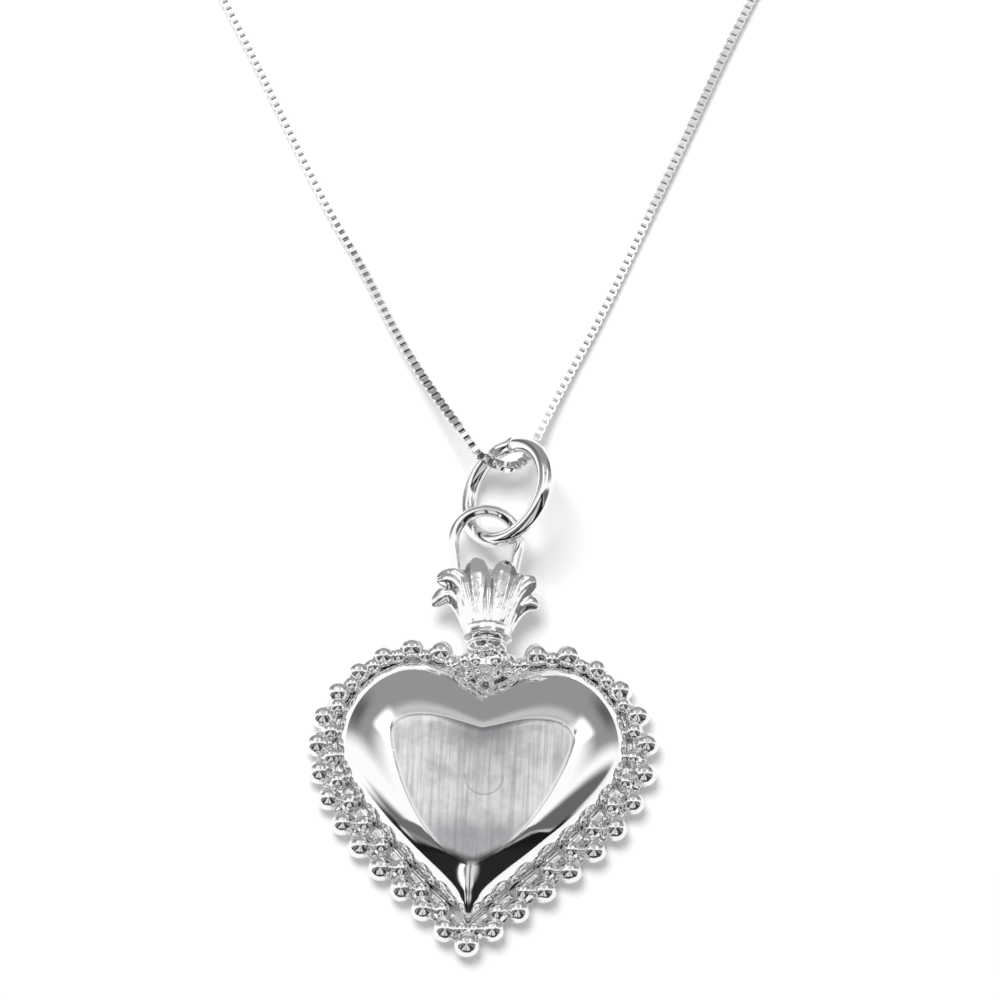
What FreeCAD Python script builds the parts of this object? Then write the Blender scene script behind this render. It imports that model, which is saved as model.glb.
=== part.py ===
import FreeCAD, Part
import math
import os

# Sacred heart pendant in polished silver on a fine box chain, lying on its flat back.
# Millimetres, +Z up. The origin is on the underside of the back plate, in the middle of the heart.
# -Y runs to the heart's tip, +Y through the flame finial, the fixed loop and the jump ring to the chain.

Vector = FreeCAD.Vector

# Hollow heart: a flat back plate and a domed front soldered on it
plate_thickness = 0.4
dome_wall = 0.42
dome_top = 4.45
dome_turns = (0, 22.5, 45, 67.5, 90)
hollow_turns = (0, 35, 62, 90)
hollow_points = 7
notch_y = 8.6
notch_angle = 31.0
notch_reach = 2.0
lobe_x = 5.4
lobe_y = 10.75
lobe_inner_reach = 1.9
lobe_outer_reach = 3.3
side_x = 11.0
side_y = 4.3
side_upper_reach = 3.3
side_lower_reach = 4.2
tip_x = -0.4
tip_y = -10.2
tip_angle = 42.7
tip_reach = 8.0

# Brushed flat on the dome, measured in from the dome's own outline
flat_notch_inset = 4.65
flat_notch_angle = 9.0
flat_notch_reach = 1.6
flat_lobe_x_inset = 0.7
flat_lobe_y_inset = 5.45
flat_lobe_inner_reach = 1.8
flat_lobe_outer_reach = 1.1
flat_side_x_inset = 4.5
flat_side_y_inset = 0.4
flat_side_upper_reach = 0.8
flat_side_lower_reach = 2.5
flat_tip_inset = 4.1
flat_tip_angle = 15.0
flat_tip_reach = 4.2

# Cast border of balls around the heart
solder_gap = 0.05
border_side = 1.8
border_lobe = 1.35
border_notch = 1.45
border_flank = 1.6
border_flank_reach = 2.6
border_tip_reach = 1.0
band_height = 0.55
band_inset = 0.35
ball_radius = 0.97
ball_sides = 8
ball_latitudes = (-52, 8, 58)
left_ball_count = 16
right_ball_count = 15
neck_share = 0.7
tip_ball_tuck = 0.45
knob_radius = 0.56
knob_height = 1.05
knob_latitudes = (-35, 40)
link_radius = 0.5
link_height = 0.8
link_sides = 4
small_sides = 6

# Neck that carries the plume, and the plume itself
neck_seat_reach = 1.9
neck_radius = 1.6
neck_length = 2.1
neck_sides = 12
neck_root_share = 0.9
neck_waist_share = 0.85
neck_waist_place = 0.45
neck_shoulder_place = 0.75
grain_radius = 0.42
grain_latitudes = (-50, 50)
grain_places = ((-1.1, 0.2, 0.4), (1.15, 0.3, 0.5), (-0.45, -0.1, 1.1), (0.5, 0.05, 1.2), (0, -0.5, 0.2))
collar_radius = 1.95
collar_start = 0.45
collar_width = 0.95
collar_edge_share = 0.93
collar_edge_width = 0.12
plume_foot_share = 0.97
plume_height = 6.2
plume_core_radius = 1.55
plume_shoulder_place = 0.6
plume_top_share = 0.7
finial_sides = 16

# Fixed loop soldered in the plume
loop_radius = 2.62
loop_wire_radius = 0.48
loop_centre_x = -0.49
loop_reach = 8.75
loop_tilt = 8.0
leg_lean = 10.0
leg_length = 3.9
wire_sides = 10

# Jump ring, leaning with its left limb on the table
ring_radius = 4.05
ring_wire_radius = 0.66
ring_lean = 41.0
ring_centre_x = 0.95
ring_tuck = 0.05
ring_rest_gap = 0.02
ring_seam = 0.1
ring_seam_turn = 172.0
ring_sides = 10
loop_clearance = 0.5

# Box chain
chain_width = 0.75
coil_radius = 4.125
coil_columns = 3
coil_layers = 2
chain_table_gap = 0.005
arc_share = 0.45
tail_reach = 7.6
tail_bend = 0.35
tail_bend_place = 0.55
tail_drop = 1.6

# Spring ring clasp and end ring
clasp_radius = 2.2
clasp_wire_radius = 0.55
clasp_mouth = 48.0
gate_radius = 0.24
gate_fit = 0.07
clasp_sides = 6
bore_overrun = 1.0
catch_play = 2.0
gate_catch = 7.0
gate_hold = 62.0
gate_travel = 50.0
gate_sides = 6
trigger_turn = 72.0
trigger_width = 0.3
trigger_rise = 0.35
slot_play = 5.0
spring_gap = 0.5
spring_squeezed = 18.0
spring_sides = 8
spring_bore_share = 0.6
tag_radius = 0.75
tag_wire_radius = 0.26
end_ring_radius = 1.6
end_ring_wire_radius = 0.3

# Worked out from the sizes above
loop_height = 2 * ring_wire_radius + loop_wire_radius + loop_clearance
finial_height = loop_height - loop_radius * math.sin(math.radians(loop_tilt))
floor_centre = chain_width / 2 + chain_table_gap
outer_turn_radius = coil_radius + chain_width * (coil_columns - 1) / 2
bore_reach = gate_hold + gate_travel + spring_squeezed
bore_radius = (gate_radius + gate_fit) / math.cos(math.pi / gate_sides)

dome_outline = {
    "notch_y": notch_y,
    "notch_angle": notch_angle,
    "notch_reach": notch_reach,
    "lobe_x": lobe_x,
    "lobe_y": lobe_y,
    "lobe_inner_reach": lobe_inner_reach,
    "lobe_outer_reach": lobe_outer_reach,
    "side_x": side_x,
    "side_y": side_y,
    "side_upper_reach": side_upper_reach,
    "side_lower_reach": side_lower_reach,
    "tip_x": tip_x,
    "tip_y": tip_y,
    "tip_angle": tip_angle,
    "tip_reach": tip_reach,
}

flat_outline = {
    "notch_y": notch_y - flat_notch_inset,
    "notch_angle": flat_notch_angle,
    "notch_reach": flat_notch_reach,
    "lobe_x": lobe_x - flat_lobe_x_inset,
    "lobe_y": lobe_y - flat_lobe_y_inset,
    "lobe_inner_reach": flat_lobe_inner_reach,
    "lobe_outer_reach": flat_lobe_outer_reach,
    "side_x": side_x - flat_side_x_inset,
    "side_y": side_y - flat_side_y_inset,
    "side_upper_reach": flat_side_upper_reach,
    "side_lower_reach": flat_side_lower_reach,
    "tip_x": tip_x,
    "tip_y": tip_y + flat_tip_inset,
    "tip_angle": flat_tip_angle,
    "tip_reach": flat_tip_reach,
}


def grown(outline, notch, lobe, side, flank):
    # The same heart with its four walls moved out by these widths
    wider = dict(outline)
    wider["notch_y"] += notch / math.cos(math.radians(outline["notch_angle"]))
    wider["lobe_y"] += lobe
    wider["side_x"] += side
    wider["tip_y"] -= flank / math.cos(math.radians(outline["tip_angle"]))
    return wider


def between(first, second, share):
    return {name: first[name] + (second[name] - first[name]) * share for name in first}


def heart_curves(outline, z):
    # Six cubic curves from the notch round the right lobe to the tip and back round the left one
    halves = []
    notch = Vector(0, outline["notch_y"], z)
    tip = Vector(outline["tip_x"], outline["tip_y"], z)
    rise = math.radians(outline["notch_angle"])
    slope = math.radians(outline["tip_angle"])
    for side in (1, -1):
        lobe = Vector(side * outline["lobe_x"], outline["lobe_y"], z)
        widest = Vector(side * outline["side_x"], outline["side_y"], z)
        from_notch = Vector(side * math.cos(rise), math.sin(rise), 0) * outline["notch_reach"]
        from_tip = Vector(side * math.cos(slope), math.sin(slope), 0) * outline["tip_reach"]
        halves.append([
            [notch, notch + from_notch, lobe - Vector(side * outline["lobe_inner_reach"], 0, 0), lobe],
            [lobe, lobe + Vector(side * outline["lobe_outer_reach"], 0, 0),
             widest + Vector(0, outline["side_upper_reach"], 0), widest],
            [widest, widest - Vector(0, outline["side_lower_reach"], 0), tip + from_tip, tip],
        ])
    right, left = halves
    return right + [poles[::-1] for poles in left[::-1]]


def curve_edge(poles):
    curve = Part.BezierCurve()
    curve.setPoles(poles)
    return curve.toShape()


def heart_wire(outline, z):
    return Part.Wire([curve_edge(poles) for poles in heart_curves(outline, z)])


def heart_ring(outline, z):
    # Corner points of the same heart drawn with flat sides
    ring = []
    for poles in heart_curves(outline, z):
        curve = Part.BezierCurve()
        curve.setPoles(poles)
        ring += [curve.value(i / hollow_points) for i in range(hollow_points)]
    return ring


def heart_prism(outline, low, high):
    return Part.Face(heart_wire(outline, low)).extrude(Vector(0, 0, high - low))


def dome_sections(base, flat, low, high, turns, draw):
    # Quarter ellipse from the upright foot of the wall to the level flat
    sections = []
    for turn in turns:
        run = 1 - math.cos(math.radians(turn))
        rise = math.sin(math.radians(turn))
        sections.append(draw(between(base, flat, run), low + (high - low) * rise))
    return sections


def faces_between(rings):
    # Flat faces of a closed body through rings of corner points
    faces = [Part.Face(Part.makePolygon(ring + ring[:1])) for ring in (rings[0], rings[-1])]
    for low, high in zip(rings, rings[1:]):
        for i in range(len(low)):
            j = (i + 1) % len(low)
            a, b, c, d = low[i], low[j], high[j], high[i]
            level = abs((b - a).cross(d - a).dot(c - a)) < 1e-7
            corners = [[a, b, c, d]] if level else [[a, b, c], [a, c, d]]
            faces += [Part.Face(Part.makePolygon(ring + ring[:1])) for ring in corners]
    return faces


def body_through(rings):
    solid = Part.Solid(Part.Shell(faces_between(rings)))
    if solid.Volume < 0:
        solid.reverse()
    return solid


def corner_ring(centre, across, up, radius, sides):
    turns = [2 * math.pi * (i + 0.5) / sides for i in range(sides)]
    return [centre + across * (radius * math.cos(t)) + up * (radius * math.sin(t)) for t in turns]


def ball(centre, radius, sides, latitudes):
    rings = []
    for latitude in latitudes:
        lift = radius * math.sin(math.radians(latitude))
        reach = radius * math.cos(math.radians(latitude))
        rings.append(corner_ring(centre + Vector(0, 0, lift), Vector(1, 0, 0), Vector(0, 1, 0), reach, sides))
    return body_through(rings)


def rod(start, end, radius, sides):
    heading = (end - start).normalize()
    across = heading.cross(Vector(0, 0, 1)).normalize()
    up = across.cross(heading)
    return body_through([corner_ring(place, across, up, radius, sides) for place in (start, end)])


def turned_along_y(profile, centre_x, centre_z, sides):
    # Body turned on an axis along Y, from pairs of place and radius
    rings = []
    for y, radius in profile:
        centre = Vector(centre_x, y, centre_z)
        rings.append(corner_ring(centre, Vector(1, 0, 0), Vector(0, 0, 1), radius, sides))
    return body_through(rings)


def joined(shapes):
    return shapes[0].fuse(shapes[1:]).removeSplitter()


def largest(shape):
    return max(shape.Solids, key=lambda solid: solid.Volume)


def save(node, shape):
    shape.exportStep("parts/" + node + ".step")
    print(node, "valid" if shape.isValid() else "not valid", len(shape.Solids), "volume %.3f" % shape.Volume)


# Heart
back_plate = heart_prism(dome_outline, 0, plate_thickness)
dome_inside = grown(dome_outline, -dome_wall, -dome_wall, -dome_wall, -dome_wall)
skin_wires = dome_sections(dome_outline, flat_outline, plate_thickness, dome_top, dome_turns, heart_wire)
hollow_top = dome_top - dome_wall
hollow_rings = dome_sections(dome_inside, flat_outline, plate_thickness, hollow_top, hollow_turns, heart_ring)
dome_front = Part.makeLoft(skin_wires, True, True).cut(body_through(hollow_rings))

# Border
ball_line = grown(dome_outline, border_notch, border_lobe, border_side, border_flank)
ball_line["side_lower_reach"] += border_flank_reach
ball_line["tip_reach"] += border_tip_reach
band_line = grown(ball_line, -band_inset, -band_inset, -band_inset, -band_inset)
heart_room = grown(dome_outline, solder_gap, solder_gap, solder_gap, solder_gap)
seat_y = ball_line["notch_y"] + neck_seat_reach


def point_along(edges, distance):
    for edge in edges:
        if distance <= edge.Length:
            return edge.valueAt(edge.getParameterByLength(distance))
        distance -= edge.Length
    return edges[-1].valueAt(edges[-1].LastParameter)


def ball_places(curves, count):
    # Even places from the ball nearest the neck to the last one before the tip
    edges = [curve_edge(poles) for poles in curves]
    length = sum(edge.Length for edge in edges)
    spacing = length / (count + neck_share)
    return [point_along(edges, length - spacing * (count - i)) for i in range(count)]


def border_balls():
    curves = heart_curves(ball_line, ball_radius)
    right = ball_places(curves[:3], right_ball_count)
    left = ball_places([poles[::-1] for poles in curves[:2:-1]], left_ball_count)
    tip = Vector(ball_line["tip_x"], ball_line["tip_y"] + tip_ball_tuck, ball_radius)
    return right + [tip] + left[::-1]


def border_solid():
    heart_foot = heart_wire(heart_room, 0)
    pieces = []
    places = border_balls()
    for place in places:
        level = Vector(place.x, place.y, 0)
        nearest = Part.Vertex(level).distToShape(heart_foot)[1][0][1]
        outward = (level - nearest).normalize()
        knob = nearest + outward * knob_radius + Vector(0, 0, knob_height)
        pieces.append(ball(place, ball_radius, ball_sides, ball_latitudes))
        pieces.append(ball(knob, knob_radius, small_sides, knob_latitudes))
    for first, second in zip(places, places[1:]):
        drop = Vector(0, 0, link_height - ball_radius)
        pieces.append(rod(first + drop, second + drop, link_radius, link_sides))
    return pieces


def neck_solid():
    # Waisted neck with a few grains of casting about its root in the notch
    start = seat_y - neck_length
    profile = [
        (start, neck_radius * neck_root_share),
        (start + neck_length * neck_waist_place, neck_radius * neck_waist_share),
        (start + neck_length * neck_shoulder_place, neck_radius),
        (seat_y, neck_radius),
    ]
    pieces = [turned_along_y(profile, 0, finial_height, neck_sides)]
    for across, back, lift in grain_places:
        place = Vector(across, start + back, finial_height + lift)
        pieces.append(ball(place, grain_radius, small_sides, grain_latitudes))
    return pieces


band = heart_prism(band_line, 0, band_height)
beaded_frame = joined([band] + border_solid() + neck_solid())
beaded_frame = largest(beaded_frame.cut(heart_prism(heart_room, -dome_top, 2 * dome_top)))

# Plume: each petal has its root, its bend and its tip from the middle of the neck's seat
petals = (
    {"root": (-0.5, 1.3, 1.45), "bend": (-0.75, 4.4, 1.6), "tip": (-1.25, 7.2, 0.95),
     "face": -8, "width": 1.5, "depth": 0.9},
    {"root": (0.5, 1.3, 1.45), "bend": (0.75, 4.4, 1.6), "tip": (1.3, 7.1, 0.95),
     "face": 8, "width": 1.5, "depth": 0.9},
    {"root": (0.0, 1.3, 1.6), "bend": (-0.05, 4.0, 1.9), "tip": (-0.3, 6.3, 1.2),
     "face": 0, "width": 0.9, "depth": 0.8},
    {"root": (-1.05, 1.3, 1.2), "bend": (-1.5, 4.0, 1.5), "tip": (-2.2, 6.0, 0.9),
     "face": -25, "width": 1.0, "depth": 0.8},
    {"root": (1.05, 1.3, 1.2), "bend": (1.5, 4.0, 1.5), "tip": (2.4, 6.2, 0.9),
     "face": 25, "width": 1.0, "depth": 0.8},
    {"root": (-1.35, 1.3, 0.6), "bend": (-2.4, 8.3, 0.9), "tip": (-4.35, 5.6, 0.3),
     "face": -35, "width": 1.5, "depth": 0.8},
    {"root": (1.35, 1.3, 0.6), "bend": (2.1, 6.6, 0.9), "tip": (3.6, 6.1, 0.4),
     "face": 35, "width": 1.4, "depth": 0.8},
    {"root": (-1.5, 1.3, 0.0), "bend": (-2.5, 5.7, 0.3), "tip": (-4.6, 3.2, -0.2),
     "face": -60, "width": 1.2, "depth": 0.7},
    {"root": (1.5, 1.3, 0.0), "bend": (2.3, 4.7, 0.3), "tip": (3.6, 3.7, -0.1),
     "face": 60, "width": 1.2, "depth": 0.7},
    {"root": (-1.0, 1.3, -1.1), "bend": (-1.7, 4.4, -1.1), "tip": (-2.6, 6.0, -0.7),
     "face": 200, "width": 1.5, "depth": 0.7},
    {"root": (0.0, 1.3, -1.4), "bend": (0.0, 4.4, -1.35), "tip": (0.0, 6.6, -0.9),
     "face": 180, "width": 1.6, "depth": 0.7},
    {"root": (1.0, 1.3, -1.1), "bend": (1.7, 4.4, -1.1), "tip": (2.6, 6.0, -0.7),
     "face": 160, "width": 1.5, "depth": 0.7},
)

# Breadth and thickness of a petal at shares of its length
petal_stations = ((0, 0.55, 0.8), (0.3, 0.8, 1.0), (0.6, 1.0, 0.9), (0.85, 0.8, 0.75), (1, 0.3, 0.3))


def petal_solid(root, bend, tip, face, width, depth):
    turn = math.radians(face)
    facing = Vector(math.sin(turn), 0, math.cos(turn))
    rings = []
    for share, breadth, thickness in petal_stations:
        rest = 1 - share
        place = root * (rest * rest) + bend * (2 * share * rest) + tip * (share * share)
        heading = ((bend - root) * rest + (tip - bend) * share).normalize()
        across = heading.cross(facing).normalize() * (width * breadth / 2)
        out = across.cross(heading).normalize() * (depth * thickness / 2)
        rings.append([
            place - across,
            place - across / 2 + out,
            place + across / 2 + out,
            place + across,
            place + across / 2 - out,
            place - across / 2 - out,
        ])
    return body_through(rings)


def plume_solid():
    collar_end = collar_start + collar_width
    profile = [
        (seat_y, neck_radius),
        (seat_y + collar_start / 2, neck_radius * plume_foot_share),
        (seat_y + collar_start, collar_radius * collar_edge_share),
        (seat_y + collar_start + collar_edge_width, collar_radius),
        (seat_y + collar_end - collar_edge_width, collar_radius),
        (seat_y + collar_end, collar_radius * collar_edge_share),
        (seat_y + plume_height * plume_shoulder_place, plume_core_radius),
        (seat_y + plume_height, plume_core_radius * plume_top_share),
    ]
    pieces = [turned_along_y(profile, 0, finial_height, finial_sides)]
    seat = Vector(0, seat_y, finial_height)
    for petal in petals:
        root, bend, tip = [seat + Vector(*petal[name]) for name in ("root", "bend", "tip")]
        pieces.append(petal_solid(root, bend, tip, petal["face"], petal["width"], petal["depth"]))
    return joined(pieces)


flame_finial = plume_solid()


def wire_ring(radius, wire_radius, sides, start, sweep):
    # Round wire bent in a circle on the XY plane
    section = corner_ring(Vector(radius, 0, 0), Vector(1, 0, 0), Vector(0, 0, 1), wire_radius, sides)
    face = Part.Face(Part.makePolygon(section + section[:1]))
    face.rotate(Vector(0, 0, 0), Vector(0, 0, 1), start)
    return face.revolve(Vector(0, 0, 0), Vector(0, 0, 1), sweep)


def fixed_loop_solid():
    # Half circle and two legs that close in on the plume
    arch = wire_ring(loop_radius, loop_wire_radius, wire_sides, -leg_lean, 180 + 2 * leg_lean)
    pieces = [arch]
    for side in (1, -1):
        lean = math.radians(leg_lean)
        start = Vector(side * loop_radius * math.cos(lean), -loop_radius * math.sin(lean), 0)
        end = start + Vector(-side * math.sin(lean), -math.cos(lean), 0) * leg_length
        across = (end - start).normalize().cross(Vector(0, 0, 1))
        section = corner_ring(start, across * side, Vector(0, 0, 1), loop_wire_radius, wire_sides)
        pieces.append(Part.Face(Part.makePolygon(section + section[:1])).extrude(end - start))
    loop = joined(pieces)
    loop.rotate(Vector(0, 0, 0), Vector(1, 0, 0), loop_tilt)
    loop.translate(Vector(loop_centre_x, seat_y + loop_reach, loop_height))
    return loop


fixed_loop = largest(fixed_loop_solid().cut(flame_finial))

# Jump ring
lean = math.radians(ring_lean)
ring_height = ring_wire_radius + ring_radius * math.sin(lean) + ring_rest_gap
ring_centre = Vector(ring_centre_x, seat_y + loop_reach + ring_radius - ring_tuck, ring_height)
seam_sweep = math.degrees(ring_seam / ring_radius)
seam_end = ring_seam_turn - 90 + seam_sweep / 2
jump_ring = wire_ring(ring_radius, ring_wire_radius, ring_sides, seam_end, 360 - seam_sweep)
jump_ring.rotate(Vector(0, 0, 0), Vector(0, 1, 0), -ring_lean)
jump_ring.translate(ring_centre)

# Box chain: the route from the left coil over the ring's left limb, down through it and out to the right coil
left_route = (
    (-29.2, 79.9, floor_centre),
    (-26.2, 73.4, floor_centre),
    (-22.2, 65.8, floor_centre),
    (-18.5, 58.3, floor_centre),
    (-15.0, 51.4, floor_centre),
    (-11.7, 45.9, floor_centre),
    (-9.0, 40.5, 0.6),
    (-6.7, 36.4, 1.2),
    (-4.6, 32.9, 2.3),
    (-2.6, 29.8, 3.3),
    (-1.25, 27.74, 3.42),
)
right_route = (
    (22.5, 79.9, floor_centre),
    (19.6, 73.4, floor_centre),
    (17.0, 66.7, floor_centre),
    (13.85, 58.1, floor_centre),
    (10.75, 50.1, floor_centre),
    (7.95, 42.7, floor_centre),
    (5.6, 37.3, 0.5),
    (4.1, 33.7, 0.8),
    (3.1, 30.9, 1.15),
    (2.45, 28.7, 1.65),
    (1.25, 27.36, 2.3),
)


def chain_tube(route, stop):
    # Square tube along straight runs joined by tangent arcs, from the far end of a half to its middle
    points = [Vector(*place) for place in route]
    runs = [second - first for first, second in zip(points, points[1:])]
    heading = Vector(runs[0]).normalize()
    across = heading.cross(Vector(0, 0, 1)).normalize() * (chain_width / 2)
    up = across.cross(heading).normalize() * (chain_width / 2)
    here = points[0]
    pieces = []
    for i in range(1, len(points) - 1):
        before = Vector(runs[i - 1]).normalize()
        after = Vector(runs[i]).normalize()
        turn = before.getAngle(after)
        shorter = min(runs[i - 1].Length, runs[i].Length)
        tangent = arc_share * shorter
        radius = tangent / math.tan(turn / 2)
        arc_start = points[i] - before * tangent
        face = square_face(here, across, up)
        pieces.append(face.extrude(arc_start - here))
        axis = before.cross(after).normalize()
        centre = arc_start + axis.cross(before).normalize() * radius
        face = square_face(arc_start, across, up)
        pieces.append(face.revolve(centre, axis, math.degrees(turn)))
        spin = FreeCAD.Rotation(axis, math.degrees(turn))
        across = spin.multVec(across)
        up = spin.multVec(up)
        here = points[i] + after * tangent
    face = square_face(here, across, up)
    pieces.append(face.extrude(stop - here))
    return joined(pieces)


def square_face(place, across, up):
    corners = [place - across - up, place + across - up, place + across + up, place - across + up]
    return Part.Face(Part.makePolygon(corners + corners[:1]))


def coil_solid(centre):
    half = chain_width * coil_columns / 2
    height = chain_width * coil_layers
    outer = Part.makeCylinder(coil_radius + half, height, centre)
    return outer.cut(Part.makeCylinder(coil_radius - half, height, centre))


def chain_half(own, other, inward):
    # Half chain, its coil, and the side of the strand the coil lies on
    middle = (Vector(*own[-1]) + Vector(*other[-1])) * 0.5
    tube = chain_tube(list(own) + [other[-1]], middle)
    first, second = Vector(*own[0]), Vector(*own[1])
    heading = (first - second).normalize()
    inner = Vector(heading.y * inward, -heading.x * inward, 0)
    centre = first + inner * outer_turn_radius
    centre = Vector(centre.x, centre.y, 0)
    coil = coil_solid(centre)
    return largest(tube.cut(coil)), coil, centre


chain_left_run, chain_left_coil, left_coil_centre = chain_half(left_route, right_route, 1)
chain_right_run, chain_right_coil, right_coil_centre = chain_half(right_route, left_route, -1)


# Tails from the coils to the clasp and to the end ring
def tail_route(coil_centre, side):
    start = coil_centre + Vector(0, outer_turn_radius, floor_centre)
    bend = start + Vector(side * tail_reach * tail_bend_place, -tail_bend, 0)
    end = start + Vector(side * tail_reach, -tail_drop, 0)
    return [(p.x, p.y, p.z) for p in (start, bend, end)]


def tail_heading(route):
    return (Vector(*route[-1]) - Vector(*route[-2])).normalize()


left_tail_route = tail_route(left_coil_centre, 1)
right_tail_route = tail_route(right_coil_centre, -1)

# Clasp: a hollow C of tube lying flat, its gate, spring and the tag that the chain ends in
tag_offset = clasp_radius + clasp_wire_radius + tag_radius - tag_wire_radius
left_end = Vector(*left_tail_route[-1])
clasp_heading = tail_heading(left_tail_route)
tag_centre = left_end + clasp_heading * tag_radius
tag_centre = Vector(tag_centre.x, tag_centre.y, clasp_wire_radius)
clasp_centre = tag_centre + clasp_heading * tag_offset
tag_turn = math.degrees(math.atan2(-clasp_heading.y, -clasp_heading.x))
mouth_start = tag_turn + 180 - clasp_mouth / 2
mouth_end = mouth_start + clasp_mouth


def placed_clasp(shape):
    shape.translate(clasp_centre)
    return shape


def clasp_bore(start, end):
    return wire_ring(clasp_radius, bore_radius, gate_sides, start, end - start)


def clasp_body_solid():
    tube = wire_ring(clasp_radius, clasp_wire_radius, clasp_sides, mouth_end, 360 - clasp_mouth)
    tube = tube.cut(clasp_bore(mouth_end - bore_overrun, mouth_end + bore_reach))
    tube = tube.cut(clasp_bore(mouth_start - gate_catch - catch_play, mouth_start + bore_overrun))
    half_slot = Vector(trigger_width / 2 + gate_fit, 0, 0)
    slot_foot = Vector(clasp_radius, 0, clasp_wire_radius)
    slot_face = square_face(slot_foot, half_slot, Vector(0, 0, clasp_wire_radius))
    slot_face.rotate(Vector(0, 0, 0), Vector(0, 0, 1), mouth_start + trigger_turn - slot_play)
    slot = slot_face.revolve(Vector(0, 0, 0), Vector(0, 0, 1), gate_travel + 2 * slot_play)
    tube = tube.cut(slot)
    tag = wire_ring(tag_radius, tag_wire_radius, small_sides, 0, 360)
    tag.translate(tag_centre - clasp_centre)
    return placed_clasp(largest(tube.fuse(tag)))


def clasp_gate_solid():
    gate_sweep = gate_catch + clasp_mouth + gate_hold
    gate = wire_ring(clasp_radius, gate_radius, gate_sides, mouth_start - gate_catch, gate_sweep)
    rise = clasp_wire_radius + trigger_rise
    trigger = Part.makeBox(trigger_width, trigger_width, rise)
    trigger.translate(Vector(clasp_radius - trigger_width / 2, -trigger_width / 2, 0))
    trigger.rotate(Vector(0, 0, 0), Vector(0, 0, 1), mouth_start + trigger_turn)
    return placed_clasp(gate.fuse(trigger).removeSplitter())


def clasp_spring_solid():
    # Coiled spring between the gate and the end of the bore, drawn as its tube-shaped envelope
    start = mouth_end + gate_hold + spring_gap
    sweep = gate_travel + spring_squeezed - spring_gap
    outer = wire_ring(clasp_radius, gate_radius, spring_sides, start, sweep)
    inner = wire_ring(clasp_radius, gate_radius * spring_bore_share, small_sides, start, sweep)
    return placed_clasp(outer.cut(inner))


clasp_body = clasp_body_solid()
clasp_gate = clasp_gate_solid()
clasp_spring = clasp_spring_solid()

right_end = Vector(*right_tail_route[-1])
end_ring_centre = right_end + tail_heading(right_tail_route) * end_ring_radius
end_ring = wire_ring(end_ring_radius, end_ring_wire_radius, small_sides, 0, 360)
end_ring.translate(Vector(end_ring_centre.x, end_ring_centre.y, end_ring_wire_radius))

chain_left_tail = chain_tube(left_tail_route, left_end).cut(chain_left_coil).cut(clasp_body)
chain_right_tail = chain_tube(right_tail_route, right_end).cut(chain_right_coil).cut(end_ring)

os.makedirs("parts", exist_ok=True)
save("back_plate", back_plate)
save("dome_front", dome_front)
save("beaded_frame", beaded_frame)
save("flame_finial", flame_finial)
save("fixed_loop", fixed_loop)
save("jump_ring", jump_ring)
save("chain_left_run", chain_left_run)
save("chain_left_coil", chain_left_coil)
save("chain_left_tail", largest(chain_left_tail))
save("chain_right_run", chain_right_run)
save("chain_right_coil", chain_right_coil)
save("chain_right_tail", largest(chain_right_tail))
save("clasp_body", clasp_body)
save("clasp_gate", clasp_gate)
save("clasp_spring", clasp_spring)
save("end_ring", end_ring)
print("jump ring centre", ring_centre, "clasp centre", clasp_centre)
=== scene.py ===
import math
import random

import bpy
from mathutils import Matrix, Vector


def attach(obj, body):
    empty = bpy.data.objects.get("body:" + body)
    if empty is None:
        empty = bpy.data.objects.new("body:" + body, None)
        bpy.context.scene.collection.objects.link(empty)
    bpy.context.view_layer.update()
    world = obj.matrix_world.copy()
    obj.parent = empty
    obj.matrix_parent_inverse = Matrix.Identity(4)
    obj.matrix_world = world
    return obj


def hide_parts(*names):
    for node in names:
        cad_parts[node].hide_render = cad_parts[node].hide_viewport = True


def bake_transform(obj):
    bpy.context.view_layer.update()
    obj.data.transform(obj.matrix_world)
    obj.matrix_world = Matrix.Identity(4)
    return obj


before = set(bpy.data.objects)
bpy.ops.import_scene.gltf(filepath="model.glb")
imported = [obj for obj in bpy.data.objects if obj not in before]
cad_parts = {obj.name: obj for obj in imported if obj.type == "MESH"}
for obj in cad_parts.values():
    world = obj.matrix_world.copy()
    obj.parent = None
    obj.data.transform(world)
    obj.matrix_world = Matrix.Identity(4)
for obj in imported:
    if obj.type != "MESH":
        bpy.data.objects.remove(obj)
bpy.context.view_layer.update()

mm = 0.001  # pieces are drawn in millimetres and brought to metres at the end
upward = Vector((0, 0, 1))


def printStage(words):
    print("stage:", words)


# Meshes
def makeMesh(name, points, faces, smooth=True):
    mesh = bpy.data.meshes.new(name)
    mesh.from_pydata([tuple(p) for p in points], [], faces)
    mesh.polygons.foreach_set("use_smooth", [smooth] * len(mesh.polygons))
    mesh.update()
    return mesh


def placePiece(name, mesh, body, material, replaced=()):
    mesh.transform(Matrix.Scale(mm, 4))
    mesh.materials.append(material)
    piece = bpy.data.objects.new(name, mesh)
    bpy.context.scene.collection.objects.link(piece)
    if body:
        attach(piece, body)
    if replaced:
        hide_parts(*replaced)
    return piece


def joinLists(parts):
    points, faces = [], []
    for partPoints, partFaces in parts:
        shift = len(points)
        points += partPoints
        faces += [[i + shift for i in face] for face in partFaces]
    return points, faces


def ringFaces(rings, sides, closedEnds=True):
    faces = []
    for i in range(rings - 1):
        for k in range(sides):
            a, b = i * sides + k, i * sides + (k + 1) % sides
            faces.append([a, b, b + sides, a + sides])
    if closedEnds:
        faces.append(list(range(sides))[::-1])
        faces.append([(rings - 1) * sides + k for k in range(sides)])
    return faces


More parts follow.
